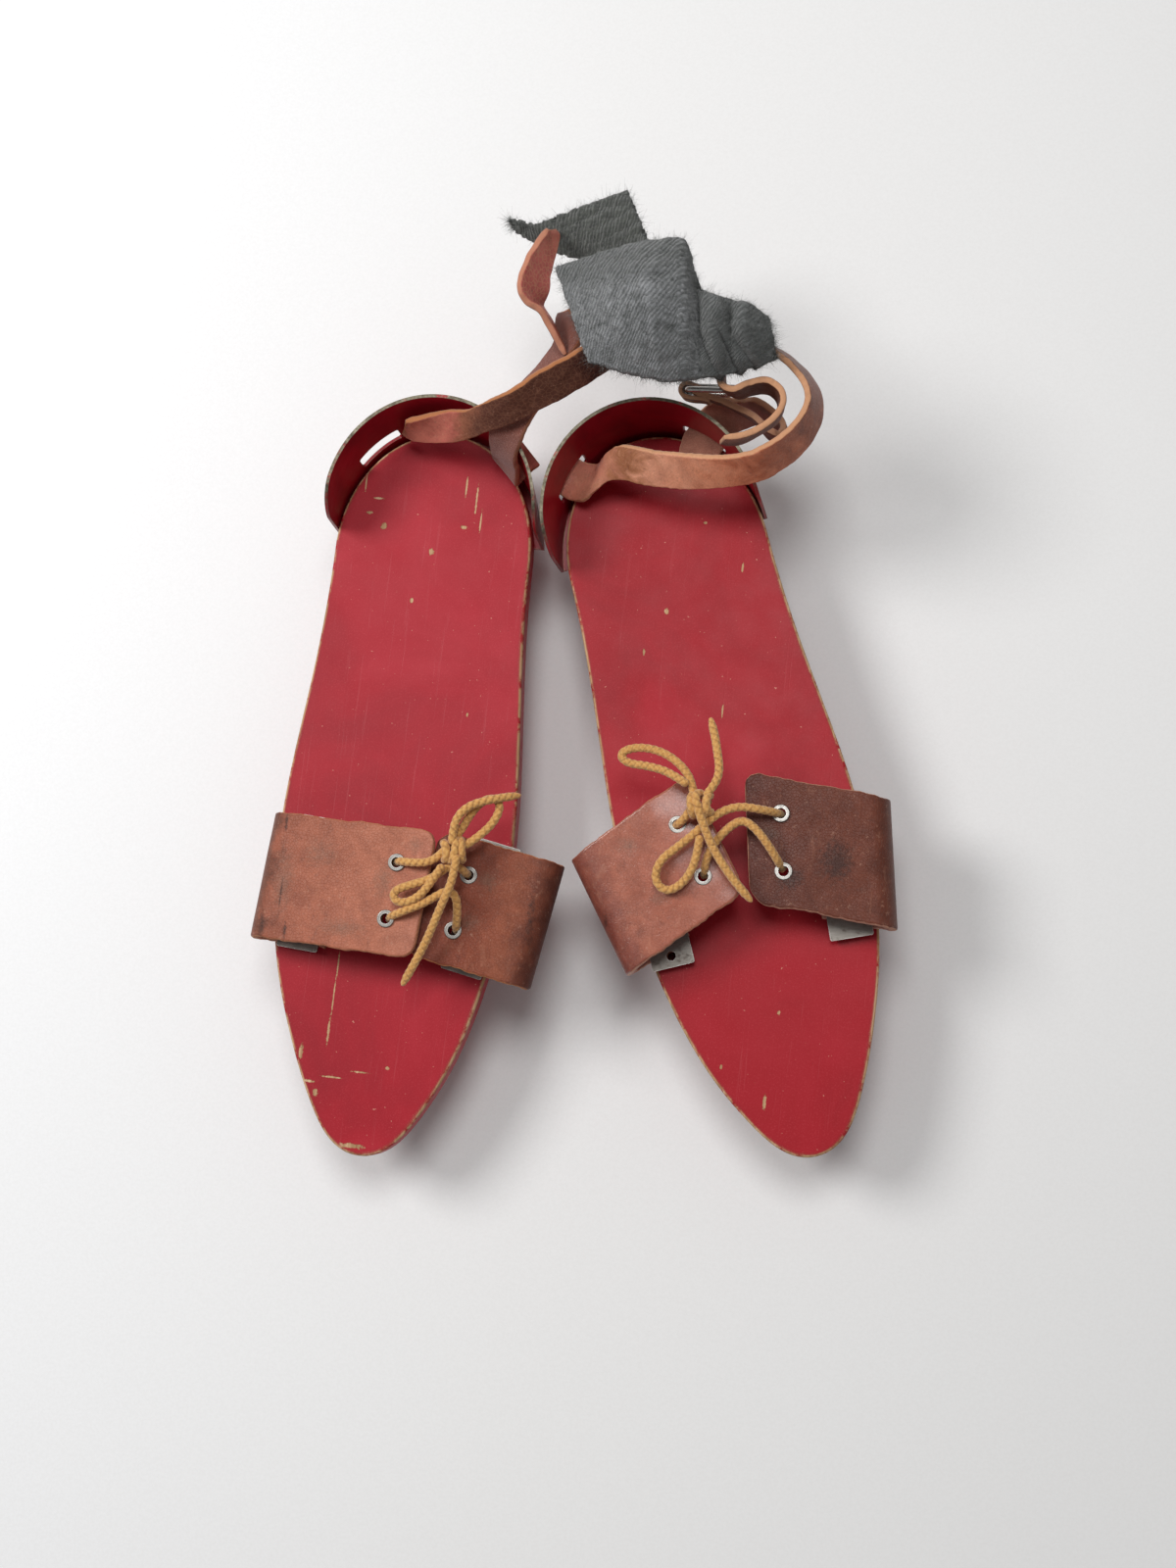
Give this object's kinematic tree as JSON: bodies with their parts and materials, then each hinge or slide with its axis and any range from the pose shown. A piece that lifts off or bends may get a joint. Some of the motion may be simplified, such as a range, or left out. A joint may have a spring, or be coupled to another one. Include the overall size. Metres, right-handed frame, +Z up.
{
  "type": "ice skates",
  "caption": "Mirrored pair of antique strap-on ice skates: red wooden soles on steel runners, sheet heel cups, laced leather toe flaps, ankle straps and felt pads.",
  "frame": {"origin": "foot of the left skate's runner, under the middle of its sole", "axes": "+X to the left skate's inner side, +Y to the heels along the left skate, +Z up; z = 0 at the foot of both runners"},
  "size_m": [0.2393, 0.3652, 0.1247],
  "materials": {
    "painted_wood": "dark red satin paint over light wood, worn at the edges",
    "painted_sheet": "dark red paint on thin sheet, rubbed at the rim",
    "runner_steel": "dull ground steel",
    "angle_steel": "dull steel",
    "rivet_steel": "dull steel",
    "screw_steel": "dull steel",
    "plate_steel": "brushed grey steel, dulled",
    "tan_leather": "worn orange-brown leather with dark stains",
    "brown_leather": "worn red-brown leather",
    "strap_leather": "worn brown leather with a pinkish flesh side",
    "eyelet_metal": "bright worn nickel",
    "buckle_metal": "bright wire, darkened in places",
    "lace_cord": "golden-tan braid with darker flecks",
    "wool_felt": "coarse salt-and-pepper grey felt with frayed edges"
  },
  "bodies": {
    "left_skate": {"left_sole": "painted_wood", "left_runner": "runner_steel", "left_front_angles": "angle_steel", "left_rear_angles": "angle_steel", "left_runner_rivets": "rivet_steel", "left_angle_screws": "screw_steel", "left_heel_cup": "painted_sheet", "left_cup_screws": "screw_steel", "left_outer_strap_plate": "plate_steel", "left_inner_strap_plate": "plate_steel", "left_plate_screws": "screw_steel", "left_outer_toe_flap": "tan_leather", "left_inner_toe_flap": "brown_leather", "left_eyelets": "eyelet_metal", "left_lace_bow_upper": "lace_cord", "left_lace_bow_lower": "lace_cord", "left_lace_tail_upper": "lace_cord", "left_lace_tail_lower": "lace_cord", "left_lace_cross": "lace_cord", "left_lace_knot": "lace_cord", "left_ankle_strap": "strap_leather", "left_felt_pad": "wool_felt", "left_slot_strap": "strap_leather"},
    "left_buckle": {"left_buckle_frame": "buckle_metal"},
    "left_prong": {"left_buckle_prong": "buckle_metal"},
    "right_skate": {"right_sole": "painted_wood", "right_runner": "runner_steel", "right_front_angles": "angle_steel", "right_rear_angles": "angle_steel", "right_runner_rivets": "rivet_steel", "right_angle_screws": "screw_steel", "right_heel_cup": "painted_sheet", "right_cup_screws": "screw_steel", "right_outer_strap_plate": "plate_steel", "right_inner_strap_plate": "plate_steel", "right_plate_screws": "screw_steel", "right_outer_toe_flap": "tan_leather", "right_inner_toe_flap": "brown_leather", "right_eyelets": "eyelet_metal", "right_lace_bow_upper": "lace_cord", "right_lace_bow_lower": "lace_cord", "right_lace_tail_upper": "lace_cord", "right_lace_tail_lower": "lace_cord", "right_lace_cross": "lace_cord", "right_lace_knot": "lace_cord", "right_ankle_strap": "strap_leather", "right_felt_pad": "wool_felt", "right_buckle_strap": "strap_leather"},
    "right_buckle": {"right_buckle_frame": "buckle_metal"},
    "right_prong": {"right_buckle_prong": "buckle_metal"}
  },
  "joints": [
    {"name": "right_skate_lift", "type": "slide", "parent": "left_skate", "child": "right_skate", "axis": [0, 0, 1], "range_m": [0, 0.3]},
    {"name": "left_buckle_swing", "type": "hinge", "parent": "left_skate", "child": "left_buckle", "pos_m": [0.07881, 0.16715, 0.09184], "axis": [-0.1794, 0.4037, 0.8971], "range_deg": [-80, 50]},
    {"name": "left_prong_swing", "type": "hinge", "parent": "left_buckle", "child": "left_prong", "pos_m": [0.07881, 0.16715, 0.09184], "axis": [-0.1794, 0.4037, 0.8971], "range_deg": [0, 60]},
    {"name": "right_buckle_swing", "type": "hinge", "parent": "right_skate", "child": "right_buckle", "pos_m": [0.0948, 0.15511, 0.06404], "axis": [0.0333, -0.2438, 0.9693], "range_deg": [0, 110]},
    {"name": "right_prong_swing", "type": "hinge", "parent": "right_buckle", "child": "right_prong", "pos_m": [0.0948, 0.15511, 0.06404], "axis": [0.0333, -0.2438, 0.9693], "range_deg": [0, 60]}
  ]
}
